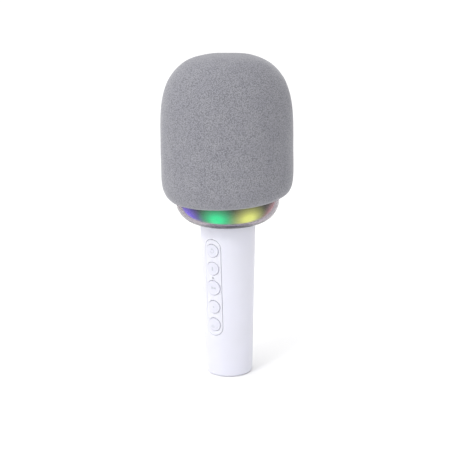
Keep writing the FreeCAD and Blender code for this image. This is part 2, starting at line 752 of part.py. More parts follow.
def led_leads():
    """From the top of the ring board."""
    x, y = -lead_side + wire_pitch, 18.0
    route = [Vector(x, y, led_board_z + board_thickness), Vector(x, y, lead_z), *down_to_board(x)]
    return lead_pair(route, 0.9)


NODES = {
    "handle_tube": handle_tube,
    "keypad_strip": keypad_strip,
    "switch_bodies": switch_bodies,
    "status_light_pipe": status_light_pipe,
    "end_cap": end_cap,
    "chassis_screws": chassis_screws,
    "chassis": chassis,
    "main_board": main_board,
    "board_screws": board_screws,
    "board_chips": board_chips,
    "board_capacitors": board_capacitors,
    "board_sockets": board_sockets,
    "status_led": status_led,
    "battery_cell": battery_cell,
    "battery_tabs": battery_tabs,
    "port_board": port_board,
    "usb_socket": usb_socket,
    "card_slot": card_slot,
    "link_pins": link_pins,
    "head_hub": head_hub,
    "light_bowl": light_bowl,
    "light_diffuser": light_diffuser,
    "led_board": led_board,
    "led_chips": led_chips,
    "speaker_chamber": speaker_chamber,
    "chamber_screws": chamber_screws,
    "speaker_frame": speaker_frame,
    "speaker_terminals": speaker_terminals,
    "speaker_yoke": speaker_yoke,
    "speaker_magnet": speaker_magnet,
    "speaker_top_plate": speaker_top_plate,
    "coil_former": coil_former,
    "voice_coil": voice_coil,
    "speaker_cone": speaker_cone,
    "dust_cap": dust_cap,
    "speaker_surround": speaker_surround,
    "speaker_spider": speaker_spider,
    "speaker_screws": speaker_screws,
    "grille_collar": grille_collar,
    "grille_band": grille_band,
    "grille_side": grille_side,
    "grille_crown": grille_crown,
    "mic_bridge": mic_bridge,
    "mic_boot": mic_boot,
    "mic_capsule": mic_capsule,
    "mic_felt": mic_felt,
    "foam_windscreen": foam_windscreen,
    "mic_leads": mic_leads,
    "speaker_leads": speaker_leads,
    "led_leads": led_leads,
}


def main():
    os.makedirs("parts", exist_ok=True)
    shapes = {name: make() for name, make in NODES.items()}
    for name, (z, radius) in BUTTONS.items():
        shapes[name + "_button"] = button_cap(z, radius)
        shapes[name + "_plunger"] = switch_plunger(z)
    for name, shape in shapes.items():
        solids = shape.Solids
        bad = not shape.isValid() or not solids or any(s.Volume <= 0 for s in solids)
        print(f"{name:20s} solids {len(solids):2d} volume {shape.Volume:10.1f}{'  BAD' if bad else ''}")
        (solids[0] if len(solids) == 1 else Part.makeCompound(solids)).exportStep(f"parts/{name}.step")


if __name__ == "__main__":
    main()
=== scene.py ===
import json
import math

import bpy
from mathutils import Matrix, Vector, noise


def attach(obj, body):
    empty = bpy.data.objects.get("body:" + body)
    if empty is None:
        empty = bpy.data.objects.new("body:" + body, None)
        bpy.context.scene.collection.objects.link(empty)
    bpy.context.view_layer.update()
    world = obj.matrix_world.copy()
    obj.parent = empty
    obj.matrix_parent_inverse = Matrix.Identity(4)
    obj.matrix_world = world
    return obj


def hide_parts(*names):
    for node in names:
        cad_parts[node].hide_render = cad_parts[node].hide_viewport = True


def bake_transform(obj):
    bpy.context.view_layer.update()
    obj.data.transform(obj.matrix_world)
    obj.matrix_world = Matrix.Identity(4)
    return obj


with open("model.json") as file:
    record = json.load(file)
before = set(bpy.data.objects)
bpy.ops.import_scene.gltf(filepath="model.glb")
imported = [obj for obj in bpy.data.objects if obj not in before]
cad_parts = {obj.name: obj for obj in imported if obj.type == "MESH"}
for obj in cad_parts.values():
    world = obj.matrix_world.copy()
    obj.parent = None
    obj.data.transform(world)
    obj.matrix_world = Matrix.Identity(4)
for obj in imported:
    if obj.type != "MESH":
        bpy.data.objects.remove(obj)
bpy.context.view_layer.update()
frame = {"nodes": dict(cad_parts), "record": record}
nodes = frame["nodes"]
MM = 0.001

# sizes shared with the frame, in millimetres
HANDLE_FOOT, HANDLE_TOP, HANDLE_HEIGHT = 15.3, 18.0, 102.0
FOAM_RADIUS, FOAM_WAIST, FOAM_TOP, FOAM_LIP_DROP = 42.4, 157.0, 210.0, 40.6
FOAM_CROWN_POWER, FOAM_FOOT_POWER = 2.95, 7.3
CORE_RADIUS = 33.5
BOWL_SWEEP, BOWL_WALL, BOWL_RIM = 15.0, 2.7, 119.5
BOWL_MOUTH, BOWL_CORNER, BOWL_LIP_CORNER = 16.2, 0.15, 0.2
BOWL_CENTRE = (CORE_RADIUS - BOWL_SWEEP, HANDLE_HEIGHT + BOWL_SWEEP)
DIFFUSER_LOW, DIFFUSER_HIGH = 105.7, 119.0
GRILLE_LOW, GRILLE_BAND_LOW, GRILLE_BAND_HIGH, GRILLE_TOP = 128.0, 156.0, 160.0, 201.1
BUTTON_HEIGHTS = {"power": 86.0, "volume_up": 74.0, "play": 61.0, "volume_down": 48.0, "echo": 36.0}
BUTTON_PROUD = 0.35
LED_RING, LED_HEIGHT = 28.0, 110.5
FORMER_RADIUS = 5.45
CELL_SLEEVE_TOP = 86.5
SPEAKER_LEADS_MIDDLE, LED_LEADS_MIDDLE = -6.425, -4.325

# the camera stands this far round from the buttons, towards +X
CAMERA_AZIMUTH = math.radians(35.5)
CAMERA_DISTANCE, CAMERA_HEIGHT, CAMERA_SIDE = 859.1, 326.2, -1.16
CAMERA_PITCH, CAMERA_ROLL = math.radians(14.84), math.radians(0.63)
CAMERA_SENSOR, CAMERA_LENS = 36, 109.1867
CAMERA_RIGHT = Vector((math.cos(CAMERA_AZIMUTH), math.sin(CAMERA_AZIMUTH), 0))
CAMERA_BACK = Vector((math.sin(CAMERA_AZIMUTH), -math.cos(CAMERA_AZIMUTH), 0))

# a wave texture repeats every tau / 20 over its scale
WAVE = math.tau / 20


# ---- node trees ---------------------------------------------------------------------------
def colour(hex_code):
    """An sRGB hex colour as the linear colour that shaders work in."""
    parts = [int(hex_code[i:i + 2], 16) / 255 for i in (0, 2, 4)]
    return (*[c / 12.92 if c <= 0.04045 else ((c + 0.055) / 1.055) ** 2.4 for c in parts], 1.0)


def add(tree, kind, inputs=None, stops=(), **settings):
    """Adds a node with its settings; inputs are values, or sockets to link from.
    stops are a colour ramp's (position, hex code) pairs."""
    made = tree.nodes.new("ShaderNode" + kind)
    for key, value in settings.items():
        setattr(made, key, value)
    for _ in stops[2:]:
        made.color_ramp.elements.new(0.5)
    for i, (position, hex_code) in enumerate(stops):
        made.color_ramp.elements[i].position = position
        made.color_ramp.elements[i].color = colour(hex_code)
    for key, value in (inputs or {}).items():
        if isinstance(value, bpy.types.NodeSocket):
            tree.links.new(value, made.inputs[key])
        else:
            made.inputs[key].default_value = value
    return made


def material(name):
    """A new material with an empty tree, its tree, and Object coordinates in millimetres."""
    made = bpy.data.materials.new(name)
    made.use_nodes = True
    made.node_tree.nodes.clear()
    tree = made.node_tree
    metres = add(tree, "TexCoord").outputs["Object"]
    place = add(tree, "VectorMath", {0: metres, "Scale": 1 / MM}, operation="SCALE").outputs[0]
    return made, tree, place


def finish(made, tree, **sockets):
    """Closes a tree with its surface and returns the material."""
    inputs = {key.replace("_", " "): value for key, value in sockets.items()}
    shader = add(tree, "BsdfPrincipled", inputs)
    add(tree, "OutputMaterial", {"Surface": shader.outputs[0]})
    return made


def wear(piece, made):
    """Gives a piece one material."""
    piece.data.materials.clear()
    piece.data.materials.append(made)


# ---- mesh tools ---------------------------------------------------------------------------
def deselect():
    """An operator acts on all that is selected, so nothing is before a new piece is added."""
    if bpy.context.mode != "OBJECT":
        bpy.ops.object.mode_set(mode="OBJECT")
    bpy.ops.object.select_all(action="DESELECT")


def alone(piece):
    deselect()
    piece.select_set(True)
    bpy.context.view_layer.objects.active = piece


def settle(piece):
    """Puts a piece's place into its mesh, so that its object sits at the origin."""
    alone(piece)
    bpy.ops.object.transform_apply(location=True, rotation=True, scale=True)


def finished(piece, kind, **settings):
    """Adds a modifier and applies it."""
    alone(piece)
    modifier = piece.modifiers.new(kind.lower(), kind)
    for key, value in settings.items():
        setattr(modifier, key, value)
    bpy.ops.object.modifier_apply(modifier=modifier.name)


def closed(piece):
    """Merges doubles and turns the faces of a closed shell outwards."""
    alone(piece)
    bpy.ops.object.mode_set(mode="EDIT")
    bpy.ops.mesh.select_all(action="SELECT")
    bpy.ops.mesh.remove_doubles(threshold=1e-6)
    bpy.ops.mesh.normals_make_consistent(inside=False)
    bpy.ops.object.mode_set(mode="OBJECT")


def start_at(name, x, z):
    """A piece that is one point in the XZ plane, left in edit mode to be drawn on from."""
    deselect()
    bpy.ops.mesh.primitive_plane_add(size=MM)
    bpy.context.object.name = name
    bpy.ops.object.mode_set(mode="EDIT")
    bpy.ops.mesh.select_all(action="SELECT")
    bpy.ops.mesh.merge(type="CENTER")
    bpy.ops.transform.translate(value=(x * MM, 0, z * MM))
    return bpy.context.object


def spun(name, outline, steps=192):
    """Piece turned from a closed or axis-ended outline of (radius, height) points in millimetres."""
    piece = start_at(name, *outline[0])
    for (r0, z0), (r1, z1) in zip(outline, outline[1:]):
        step = ((r1 - r0) * MM, 0, (z1 - z0) * MM)
        bpy.ops.mesh.extrude_region_move(TRANSFORM_OT_translate={"value": step})
    bpy.ops.mesh.select_all(action="SELECT")
    bpy.ops.mesh.spin(steps=steps, angle=math.tau, center=(0, 0, 0), axis=(0, 0, 1), use_auto_merge=True)
    closed(piece)
    return piece


def superellipse(half_width, half_height, power, waist, low, high, steps):
    """(radius, height) points on an outline r = a cos^(2/n), z = waist + b sin^(2/n)."""
    points = []
    for i in range(steps + 1):
        t = math.radians(low + (high - low) * i / steps)
        across, along = max(math.cos(t), 0) ** (2 / power), max(math.sin(t), 0) ** (2 / power)
        points.append((half_width * across, waist + half_height * along))
    return points


def even(points, spacing):
    """The same outline with points an even distance apart."""
    lengths = [0.0]
    for (r0, z0), (r1, z1) in zip(points, points[1:]):
        lengths.append(lengths[-1] + math.hypot(r1 - r0, z1 - z0))
    count = max(2, round(lengths[-1] / spacing))
    out, at = [], 0
    for i in range(count + 1):
        want = lengths[-1] * i / count
        while at < len(points) - 2 and lengths[at + 1] < want:
            at += 1
        share = (want - lengths[at]) / (lengths[at + 1] - lengths[at])
        (r0, z0), (r1, z1) = points[at], points[at + 1]
        out.append((r0 + (r1 - r0) * share, z0 + (z1 - z0) * share))
    return out


def flank(radius, low, high, steps):
    """Points on a circle round the bowl's sweep centre, in degrees from straight down."""
    points = []
    for i in range(steps + 1):
        a = math.radians(low + (high - low) * i / steps)
        points.append((BOWL_CENTRE[0] + radius * math.sin(a), BOWL_CENTRE[1] - radius * math.cos(a)))
    return points


def handle_radius(z):
    return HANDLE_FOOT + (HANDLE_TOP - HANDLE_FOOT) * z / HANDLE_HEIGHT


# ---- families of finish -------------------------------------------------------------------
def moulded(name, hex_code, roughness=0.42, grain=0.35, depth=0.012, drift="", ior=1.53, glow=0.0):
    """Injection-moulded plastic: fine spark-eroded grain in millimetres, a little uneven in tone and gloss.
    glow is how much light wanders about inside it, which softens its grooves."""
    made, tree, place = material(name)
    fine = add(tree, "TexNoise", {"Vector": place, "Scale": 1 / grain, "Detail": 2.0}).outputs["Fac"]
    broad = add(tree, "TexNoise", {"Vector": place, "Scale": 1 / 18.0, "Detail": 1.0}).outputs["Fac"]
    tone = add(tree, "ValToRGB", {"Fac": broad}, stops=((0.35, drift or hex_code), (0.65, hex_code)))
    gloss = add(tree, "MapRange", {0: fine, 1: 0.3, 2: 0.7, 3: roughness - 0.05, 4: roughness + 0.05})
    bump = add(tree, "Bump", {"Height": fine, "Distance": depth * MM, "Strength": 0.6})
    return finish(made, tree, Base_Color=tone.outputs[0], Roughness=gloss.outputs[0],
                  Normal=bump.outputs[0], IOR=ior, Subsurface_Weight=glow,
                  Subsurface_Scale=1.5 * MM, Subsurface_Radius=(1.0, 1.0, 1.0))


def metal(name, hex_code, roughness=0.3, stretch=(1, 1, 1), grain=0.5, depth=0.006, drift=""):
    """Metal with a drawn, turned or plated surface: fine lines or flow marks vary its gloss."""
    made, tree, place = material(name)
    along = add(tree, "Mapping", {"Vector": place, "Scale": stretch}).outputs["Vector"]
    lines = add(tree, "TexNoise", {"Vector": along, "Scale": 1 / grain, "Detail": 4.0}).outputs["Fac"]
    tone = add(tree, "ValToRGB", {"Fac": lines}, stops=((0.3, drift or hex_code), (0.7, hex_code)))
    gloss = add(tree, "MapRange", {0: lines, 1: 0.3, 2: 0.7, 3: roughness - 0.08, 4: roughness + 0.1})
    bump = add(tree, "Bump", {"Height": lines, "Distance": depth * MM, "Strength": 0.5})
    return finish(made, tree, Base_Color=tone.outputs[0], Roughness=gloss.outputs[0], Normal=bump.outputs[0],
                  Metallic=1.0)


def rubber(name, hex_code, lighter, roughness=0.72, grain=0.4):
    """Soft rubber: dull, with a dusty bloom in its grain."""
    made, tree, place = material(name)
    fine = add(tree, "TexNoise", {"Vector": place, "Scale": 1 / grain, "Detail": 3.0}).outputs["Fac"]
    bloom = add(tree, "TexNoise", {"Vector": place, "Scale": 1 / 6.0, "Detail": 2.0}).outputs["Fac"]
    tone = add(tree, "ValToRGB", {"Fac": bloom}, stops=((0.35, hex_code), (0.75, lighter)))
    bump = add(tree, "Bump", {"Height": fine, "Distance": 0.02 * MM, "Strength": 0.7})
    return finish(made, tree, Base_Color=tone.outputs[0], Roughness=roughness, Normal=bump.outputs[0],
                  IOR=1.5, Sheen_Weight=0.15, Sheen_Roughness=0.5)


def fibrous(name, hex_code, lighter, fibre=0.6, sheen=0.3, depth=0.05):
    """Pressed paper or felt: short crossing fibres lighter than their ground."""
    made, tree, place = material(name)
    web = 0.0
    for turn in ((0.0, 0.0, 0.4), (0.3, 0.0, 1.5), (0.0, 0.4, 2.6)):
        laid = add(tree, "Mapping", {"Vector": place, "Rotation": turn, "Scale": (0.25, 1.0, 1.0)})
        strand = add(tree, "TexNoise", {"Vector": laid.outputs["Vector"], "Scale": 1 / fibre,
                                        "Detail": 2.0}).outputs["Fac"]
        web = add(tree, "Math", {0: strand, 1: web}, operation="MAXIMUM").outputs[0]
    tone = add(tree, "ValToRGB", {"Fac": web}, stops=((0.5, hex_code), (0.72, lighter)))
    bump = add(tree, "Bump", {"Height": web, "Distance": depth * MM, "Strength": 0.8})
    return finish(made, tree, Base_Color=tone.outputs[0], Roughness=0.9, Normal=bump.outputs[0], IOR=1.45,
                  Sheen_Weight=sheen, Sheen_Roughness=0.6)


def circuit_board(name, upright):
    """Glass-fibre laminate under green solder mask: traces show lighter through it, with tinned pads."""
    made, tree, place = material(name)
    turn = (math.pi / 2, 0, 0) if upright else (0, 0, 0)
    face = add(tree, "Mapping", {"Vector": place, "Rotation": turn}).outputs["Vector"]
    bricks = {"Vector": face, "Scale": 1.0, "Mortar Size": 0.12, "Mortar Smooth": 0.2,
              "Brick Width": 3.1, "Row Height": 1.3}
    tracks = add(tree, "TexBrick", bricks, offset=0.37, squash=0.7).outputs["Fac"]
    pads = add(tree, "TexVoronoi", {"Vector": face, "Scale": 1 / 2.4, "Randomness": 0.35}).outputs["Distance"]
    tinned = add(tree, "MapRange", {0: pads, 1: 0.17, 2: 0.2, 3: 1.0, 4: 0.0}).outputs[0]
    mask = add(tree, "ValToRGB", {"Fac": tracks}, stops=((0.2, "1d5a36"), (0.8, "2f7d4a"))).outputs["Color"]
    tone = add(tree, "Mix", {"Factor": tinned, "A": mask, "B": colour("c9c8c0")}, data_type="RGBA")
    gloss = add(tree, "MapRange", {0: tinned, 1: 0.0, 2: 1.0, 3: 0.38, 4: 0.25})
    bump = add(tree, "Bump", {"Height": tracks, "Distance": 0.035 * MM, "Strength": 0.6})
    return finish(made, tree, Base_Color=tone.outputs["Result"], Roughness=gloss.outputs[0],
                  Normal=bump.outputs[0], Metallic=tinned, IOR=1.55)


def cell_sleeve():
    """Shrunk PVC sleeve on a steel cell: smooth and slightly wavy, with bare plated steel at the pole."""
    made, tree, place = material("shrunk vinyl sleeve on a plated cell")
    up = add(tree, "SeparateXYZ", {0: place}).outputs[2]
    bare = add(tree, "MapRange", {0: up, 1: CELL_SLEEVE_TOP - 0.05, 2: CELL_SLEEVE_TOP + 0.05,
                                  3: 0.0, 4: 1.0}).outputs[0]
    ripple = add(tree, "TexNoise", {"Vector": place, "Scale": 1 / 5.0, "Detail": 2.0}).outputs["Fac"]
    vinyl = add(tree, "ValToRGB", {"Fac": ripple}, stops=((0.3, "1f5f9e"), (0.7, "2a72b8"))).outputs["Color"]
    tone = add(tree, "Mix", {"Factor": bare, "A": vinyl, "B": colour("c4c4c0")}, data_type="RGBA")
    gloss = add(tree, "MapRange", {0: ripple, 1: 0.3, 2: 0.7, 3: 0.22, 4: 0.34})
    bump = add(tree, "Bump", {"Height": ripple, "Distance": 0.08 * MM, "Strength": 0.6})
    return finish(made, tree, Base_Color=tone.outputs["Result"], Roughness=gloss.outputs[0],
                  Normal=bump.outputs[0], Metallic=bare, IOR=1.53)


def wound_copper():
    """Enamelled copper wire, 0.2 mm, wound close: fine glossy rings, drawn 0.4 mm apart so that they show."""
    made, tree, place = material("enamelled copper winding")
    turns = add(tree, "TexWave", {"Vector": place, "Scale": WAVE / 0.4}, bands_direction="Z").outputs["Fac"]
    tone = add(tree, "ValToRGB", {"Fac": turns}, stops=((0.1, "7a3a1c"), (0.8, "c8743c")))
    gloss = add(tree, "MapRange", {0: turns, 1: 0.0, 2: 1.0, 3: 0.4, 4: 0.22})
    bump = add(tree, "Bump", {"Height": turns, "Distance": 0.08 * MM, "Strength": 1.0})
    return finish(made, tree, Base_Color=tone.outputs[0], Roughness=gloss.outputs[0], Normal=bump.outputs[0],
                  Metallic=1.0)


def resined_cotton():
    """Cotton cloth stiffened with amber resin: an open plain weave, 0.7 mm from thread to thread."""
    made, tree, place = material("resin-dipped cotton")
    threads = []
    for direction in ("X", "Y"):
        wave = add(tree, "TexWave", {"Vector": place, "Scale": WAVE / 0.7}, bands_direction=direction)
        threads.append(wave.outputs["Fac"])
    weave = add(tree, "Math", {0: threads[0], 1: threads[1]}, operation="MAXIMUM").outputs[0]
    tone = add(tree, "ValToRGB", {"Fac": weave}, stops=((0.3, "7d5222"), (0.9, "d2a05a")))
    bump = add(tree, "Bump", {"Height": weave, "Distance": 0.12 * MM, "Strength": 0.9})
    return finish(made, tree, Base_Color=tone.outputs[0], Roughness=0.75, Normal=bump.outputs[0], IOR=1.5,
                  Sheen_Weight=0.2, Sheen_Roughness=0.5)


def paired_leads(name, middle, left, right):
    """Two PVC-insulated leads side by side, one colour each, parted at a plane across X."""
    made, tree, place = material(name)
    east = add(tree, "SeparateXYZ", {0: place}).outputs[0]
    side = add(tree, "Math", {0: east, 1: middle}, operation="GREATER_THAN").outputs[0]
    skin = add(tree, "TexNoise", {"Vector": place, "Scale": 1 / 2.0, "Detail": 2.0}).outputs["Fac"]
    tone = add(tree, "Mix", {"Factor": side, "A": colour(left), "B": colour(right)}, data_type="RGBA")
    gloss = add(tree, "MapRange", {0: skin, 1: 0.3, 2: 0.7, 3: 0.35, 4: 0.5})
    bump = add(tree, "Bump", {"Height": skin, "Distance": 0.03 * MM, "Strength": 0.5})
    return finish(made, tree, Base_Color=tone.outputs["Result"], Roughness=gloss.outputs[0],
                  Normal=bump.outputs[0], IOR=1.53)


# ---- foam windscreen ----------------------------------------------------------------------
FOAM_DARK, FOAM_LIGHT = "77777d", "9f9fa5"
FOAM_CROWN_WALL, FOAM_MOUTH_GAP = 8.6, 0.3
# the spacing of the skin's points, and of the hidden liner's
SKIN_SPACING, LINER_SPACING = 0.8, 3.2
# the lip leans from this height down, over this much, by so much for each millimetre sideways
LEAN_FROM, LEAN_OVER, LEAN = 140.0, 22.0, 0.043


def polyurethane_foam():
    """Open-cell polyurethane foam: matt grey cells about half a millimetre wide, with a soft bright rim.
    The cells are drawn 0.7 mm wide so that they show."""
    made, tree, place = material("open-cell polyurethane foam")
    cells = add(tree, "TexVoronoi", {"Vector": place, "Scale": 1 / 0.7}).outputs["Distance"]
    grit = add(tree, "TexNoise", {"Vector": place, "Scale": 1 / 0.6, "Detail": 2.0,
                                  "Roughness": 0.7}).outputs["Fac"]
    patch = add(tree, "TexNoise", {"Vector": place, "Scale": 1 / 9.0, "Detail": 2.0}).outputs["Fac"]
    pores = add(tree, "MapRange", {0: cells, 1: 0.1, 2: 0.8, 3: 1.0, 4: 0.0}).outputs[0]
    height = add(tree, "Math", {0: pores, 1: grit}, operation="ADD").outputs[0]
    speckle = add(tree, "MapRange", {0: height, 1: 0.4, 2: 1.5, 3: 0.0, 4: 1.0}).outputs[0]
    grain = add(tree, "ValToRGB", {"Fac": speckle}, stops=((0.1, FOAM_DARK), (0.9, FOAM_LIGHT)))
    drift = add(tree, "ValToRGB", {"Fac": patch}, stops=((0.3, "f6f6f8"), (0.7, "ffffff")))
    tone = add(tree, "Mix", {"Factor": 1.0, "A": grain.outputs["Color"], "B": drift.outputs["Color"]},
               data_type="RGBA", blend_type="MULTIPLY")
    bump = add(tree, "Bump", {"Height": speckle, "Distance": 0.12 * MM, "Strength": 0.6})
    return finish(made, tree, Base_Color=tone.outputs["Result"], Roughness=1.0, Normal=bump.outputs[0],
                  IOR=1.35, Sheen_Weight=0.5, Sheen_Roughness=0.35, Sheen_Tint=colour("f2f2f5"))


def foam_windscreen():
    """Moulded cap with its cavity: an outer skin roughened cell by cell, and a lip a little askew."""
    mouth = CORE_RADIUS + FOAM_MOUTH_GAP
    mouth_angle = math.degrees(math.acos((mouth / FOAM_RADIUS) ** (FOAM_FOOT_POWER / 2)))
    rise = FOAM_TOP - FOAM_WAIST
    crown = superellipse(FOAM_RADIUS, rise, FOAM_CROWN_POWER, FOAM_WAIST, 0, 90, 3000)
    foot = superellipse(FOAM_RADIUS, -FOAM_LIP_DROP, FOAM_FOOT_POWER, FOAM_WAIST, 0, mouth_angle, 3000)
    liner = superellipse(mouth, rise - FOAM_CROWN_WALL, FOAM_CROWN_POWER, FOAM_WAIST, 0, 90, 600)
    outside = even(crown[::-1] + foot[1:], SKIN_SPACING)
    inside = even([foot[-1], (mouth, FOAM_WAIST - 0.1)] + liner[1:], LINER_SPACING)
    piece = spun("foam_windscreen_cap", outside + inside[1:], steps=320)
    normals = [vertex.normal.copy() for vertex in piece.data.vertices]
    for vertex, normal in zip(piece.data.vertices, normals):
        at = vertex.co / MM
        radius = math.hypot(at.x, at.y)
        # the liner, the mouth's edge and the pole stay smooth
        if (radius > CORE_RADIUS + 2 or at.z > FOAM_TOP - 6.5) and radius > 0.01:
            # cells of two sizes, each up to 0.05 mm proud or sunk, and broad dents of up to 0.3 mm
            cell = noise.noise(at * 0.9) * 0.05 + noise.noise(at * 1.6 + Vector((9, 4, 2))) * 0.05
            dent = noise.noise(at * 0.07 + Vector((5, 1, 7))) * 0.3
            at = at + normal * (cell + dent)
        # the lip rises on one side and drops on the other, as a soft cap pulled on by hand
        low = min(max((LEAN_FROM - at.z) / LEAN_OVER, 0.0), 1.0)
        at.z += low * low * LEAN * (at.x * CAMERA_RIGHT.x + at.y * CAMERA_RIGHT.y)
        vertex.co = at * MM
    alone(piece)
    bpy.ops.object.shade_smooth()
    wear(piece, polyurethane_foam())
    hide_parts("foam_windscreen")
    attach(piece, "windscreen")


# ---- light ring ---------------------------------------------------------------------------
# one glow for each chip, in degrees from the buttons towards +X
GLOWS = ((22.0, "00ff9c"), (62.5, "ecff78"), (108.0, "ffb0b2"), (157.5, "ff4fd8"), (202.5, "4f7bff"),
         (247.5, "28e0ff"), (292.5, "50ff60"), (338.0, "7a5cff"))
# a glow is full within the first distance and gone at the second, and this much less high than wide
GLOW_FULL, GLOW_GONE, GLOW_STRETCH = 3.0, 15.0, 1.3
GLOW_FALL, GLOW_STRENGTH = 1.8, 2.8
STRAY_LIGHT = "485049"


def smoky_acrylic():
    """Injection-moulded PMMA, polished and faintly smoky: its thick wall and its lip look grey-pink, and
    painted shade darkens its lowest millimetre, where it meets the handle.
    Its IOR is lower than the real 1.49, at which the wall looks pale."""
    made, tree, place = material("polished smoky acrylic")
    up = add(tree, "SeparateXYZ", {0: place}).outputs[2]
    rise = add(tree, "MapRange", {0: up, 1: HANDLE_HEIGHT, 2: BOWL_RIM, 3: 0.0, 4: 1.0}).outputs[0]
    # painted shade: the lowest millimetre, where the bowl meets the handle, is tinted dark grey
    stops = ((0.0, "4c484e"), (0.015, "6d6870"), (0.05, "afa6ae"), (0.4, "989097"), (1.0, "8c828a"))
    tone = add(tree, "ValToRGB", {"Fac": rise}, stops=stops)
    flow = add(tree, "TexNoise", {"Vector": place, "Scale": 1 / 7.0, "Detail": 1.0}).outputs["Fac"]
    gloss = add(tree, "MapRange", {0: flow, 1: 0.3, 2: 0.7, 3: 0.03, 4: 0.08})
    return finish(made, tree, Base_Color=tone.outputs[0], Roughness=gloss.outputs[0],
                  IOR=1.25, Transmission_Weight=1.0)


def clear_polycarbonate():
    """Moulded polycarbonate rod with frosted ends: it carries the small light to the strip."""
    made, tree, place = material("frosted clear polycarbonate")
    frost = add(tree, "TexNoise", {"Vector": place, "Scale": 1 / 0.3, "Detail": 2.0}).outputs["Fac"]
    tone = add(tree, "ValToRGB", {"Fac": frost}, stops=((0.3, "b4b8be"), (0.7, "c6cad0")))
    gloss = add(tree, "MapRange", {0: frost, 1: 0.3, 2: 0.7, 3: 0.25, 4: 0.4})
    return finish(made, tree, Base_Color=tone.outputs[0], Roughness=gloss.outputs[0],
                  IOR=1.58, Transmission_Weight=0.6)


def light_bowl():
    """Thick quarter-round shell, with the edges of its rim and its mouth chamfered."""
    inside, floor, lip = CORE_RADIUS - BOWL_WALL, HANDLE_HEIGHT + BOWL_WALL, BOWL_LIP_CORNER
    outline = flank(BOWL_SWEEP, 0, 90, 32)
    outline += [(CORE_RADIUS, BOWL_RIM - lip), (CORE_RADIUS - lip, BOWL_RIM)]
    outline += [(inside + lip, BOWL_RIM), (inside, BOWL_RIM - lip)]
    outline += flank(BOWL_SWEEP - BOWL_WALL, 90, 0, 24)
    outline += [(BOWL_MOUTH + BOWL_CORNER, floor), (BOWL_MOUTH, floor - BOWL_CORNER)]
    outline += [(BOWL_MOUTH, HANDLE_HEIGHT + BOWL_CORNER), (BOWL_MOUTH + BOWL_CORNER, HANDLE_HEIGHT)]
    piece = spun("light_bowl_shell", outline + outline[:1])
    bpy.ops.object.shade_smooth_by_angle(angle=math.radians(30))
    wear(piece, smoky_acrylic())
    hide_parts("light_bowl")
    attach(piece, "microphone")


def lit_diffuser():
    """Milky PMMA lit from behind by eight colour LEDs: a soft glow at each, a little wider than high,
    and dull grey stray light between. Its ground carries painted shade: dark in the gap at its foot and under
    the foam's lip at the top."""
    made, tree, place = material("milky acrylic lit from behind")
    up = add(tree, "SeparateXYZ", {0: place}).outputs[2]
    rise = add(tree, "MapRange", {0: up, 1: DIFFUSER_LOW, 2: DIFFUSER_HIGH, 3: 0.0, 4: 1.0}).outputs[0]
    # painted shade: the ground is near black in its lowest millimetre, in the gap at the foot, and darkens
    # towards the top, under the foam's lip
    stops = ((0.0, "1c2224"), (0.04, "2c3436"), (0.1, "97a39f"), (0.5, "949f9b"), (0.8, "788282"),
             (1.0, "3a4042"))
    ground = add(tree, "ValToRGB", {"Fac": rise}, stops=stops).outputs["Color"]
    # the glows fade out at the foot, so that the painted shade in the gap there stays dark
    foot = add(tree, "MapRange", {0: up, 1: DIFFUSER_LOW + 0.2, 2: DIFFUSER_LOW + 0.9,
                                  3: 0.1, 4: 1.0}).outputs[0]
    glow = colour(STRAY_LIGHT)
    tall = add(tree, "VectorMath", {0: place, 1: (1.0, 1.0, GLOW_STRETCH)}, operation="MULTIPLY")
    for degrees, tint in GLOWS:
        a = math.radians(degrees)
        centre = (LED_RING * math.sin(a), -LED_RING * math.cos(a), LED_HEIGHT * GLOW_STRETCH)
        away = add(tree, "VectorMath", {0: tall.outputs[0], 1: centre}, operation="DISTANCE")
        near = add(tree, "MapRange", {0: away.outputs["Value"], 1: GLOW_FULL, 2: GLOW_GONE, 3: 1.0, 4: 0.0})
        fall = add(tree, "Math", {0: near.outputs[0], 1: GLOW_FALL}, operation="POWER").outputs[0]
        soft = add(tree, "Math", {0: fall, 1: foot}, operation="MULTIPLY").outputs[0]
        ground = add(tree, "Mix", {"Factor": soft, "A": ground, "B": colour("000000")},
                     data_type="RGBA").outputs["Result"]
        glow = add(tree, "Mix", {"Factor": soft, "A": glow, "B": colour(tint)}, data_type="RGBA",
                   blend_type="ADD").outputs["Result"]
    return finish(made, tree, Base_Color=ground, Roughness=0.6, Emission_Color=glow,
                  Emission_Strength=GLOW_STRENGTH, IOR=1.1)


# ---- grille -------------------------------------------------------------------------------
# the wire's thickness, the side of a cell, and how far the mesh lies inside the core's outline
WIRE, WIRE_CELL, WIRE_INSET = 0.45, 2.4, 0.1


def woven(piece, node, wire):
    """Turns a net of faces into wire, and lets it stand for its CAD node."""
    finished(piece, "WIREFRAME", thickness=WIRE * MM, use_even_offset=True, use_boundary=True, offset=-1.0)
    wear(piece, wire)
    bpy.ops.object.shade_smooth_by_angle(angle=math.radians(50))
    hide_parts(node)
    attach(piece, "microphone")


